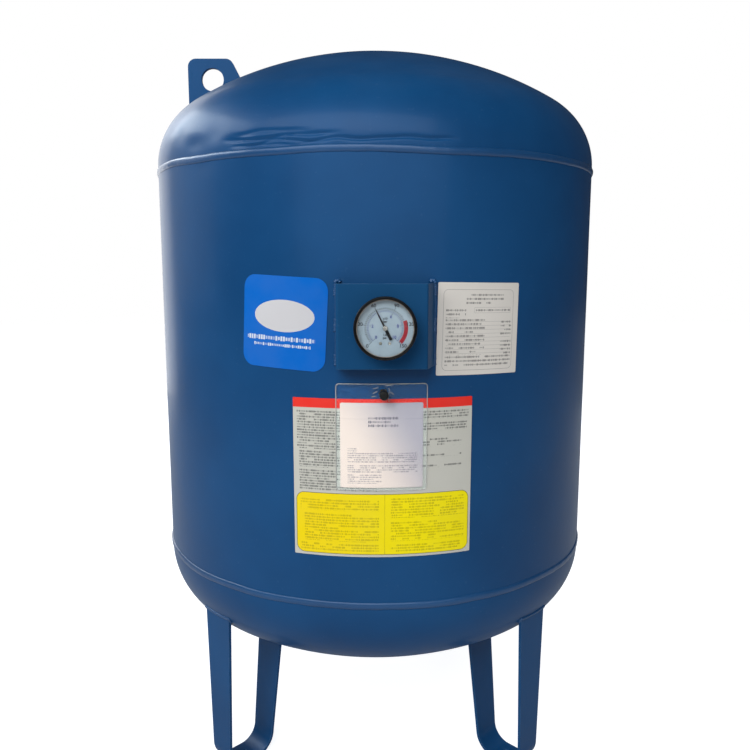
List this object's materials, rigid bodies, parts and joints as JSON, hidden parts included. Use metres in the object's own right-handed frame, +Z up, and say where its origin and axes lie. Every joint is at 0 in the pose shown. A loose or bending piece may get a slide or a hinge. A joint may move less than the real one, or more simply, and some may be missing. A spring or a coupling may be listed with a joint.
{
  "type": "well pressure tank",
  "caption": "Upright bladder pressure tank with dished heads, bent strap legs, bottom water connection, lifting lug and a front dial gauge.",
  "frame": {"origin": "on the tank's axis at floor level, centre of the four anchor holes", "axes": "+Z up along the tank's axis, -Y towards the front with the gauge, +X to the right seen from the front"},
  "size_m": [1.006, 1.0815, 1.584],
  "materials": {
    "blue_enamel": "semi-gloss blue enamel on steel",
    "blue_weld": "painted weld bead",
    "zinc_plate": "zinc-plated steel",
    "black_rubber": "matt bladder rubber",
    "copper": "soft copper",
    "brass": "turned brass",
    "black_steel": "gloss black painted steel",
    "clear_glass": "flat window",
    "dial_white": "matt white dial with printed scales",
    "pointer_black": "matt black",
    "chromed": "bright",
    "black_cap": "moulded cap",
    "printed_film": "printed adhesive film in red, white and yellow fields",
    "blue_film": "printed adhesive film with a white oval",
    "white_film": "white adhesive film",
    "clear_film": "soft clear plastic film",
    "paper": "folded paper"
  },
  "bodies": {
    "root": {"shell": "blue_enamel", "upper_head": "blue_enamel", "lower_head": "blue_enamel", "upper_seam_weld": "blue_weld", "lower_seam_weld": "blue_weld", "long_seam_weld": "blue_weld", "leg_1": "blue_enamel", "leg_2": "blue_enamel", "leg_3": "blue_enamel", "leg_4": "blue_enamel", "lifting_lug": "blue_enamel", "neck_ring": "blue_enamel", "counter_flange": "zinc_plate", "water_connection": "zinc_plate", "flange_bolts": "zinc_plate", "bladder": "black_rubber", "top_boss": "blue_enamel", "bladder_tie_stem": "zinc_plate", "top_washer": "zinc_plate", "top_nut": "zinc_plate", "gauge_bracket": "blue_enamel", "gauge_boss": "blue_enamel", "gauge_gasket": "copper", "gauge_socket": "brass", "gauge_case": "black_steel", "gauge_bezel": "black_steel", "gauge_lens": "clear_glass", "gauge_dial": "dial_white", "gauge_movement": "brass", "spring_tube": "brass", "valve_boss": "blue_enamel", "valve_body": "brass", "valve_core": "brass", "valve_cap": "black_cap", "product_label": "printed_film", "blue_label": "blue_film", "rating_label": "white_film", "document_pocket": "clear_film", "document_sheet": "paper"},
    "pointer": {"gauge_pointer": "pointer_black", "pointer_arbor": "chromed"}
  },
  "joints": [
    {"name": "pointer_turn", "type": "hinge", "parent": "root", "child": "pointer", "pos_m": [0, -0.5685, 0.988], "axis": [0, 1, 0], "range_deg": [-108, 162]}
  ]
}
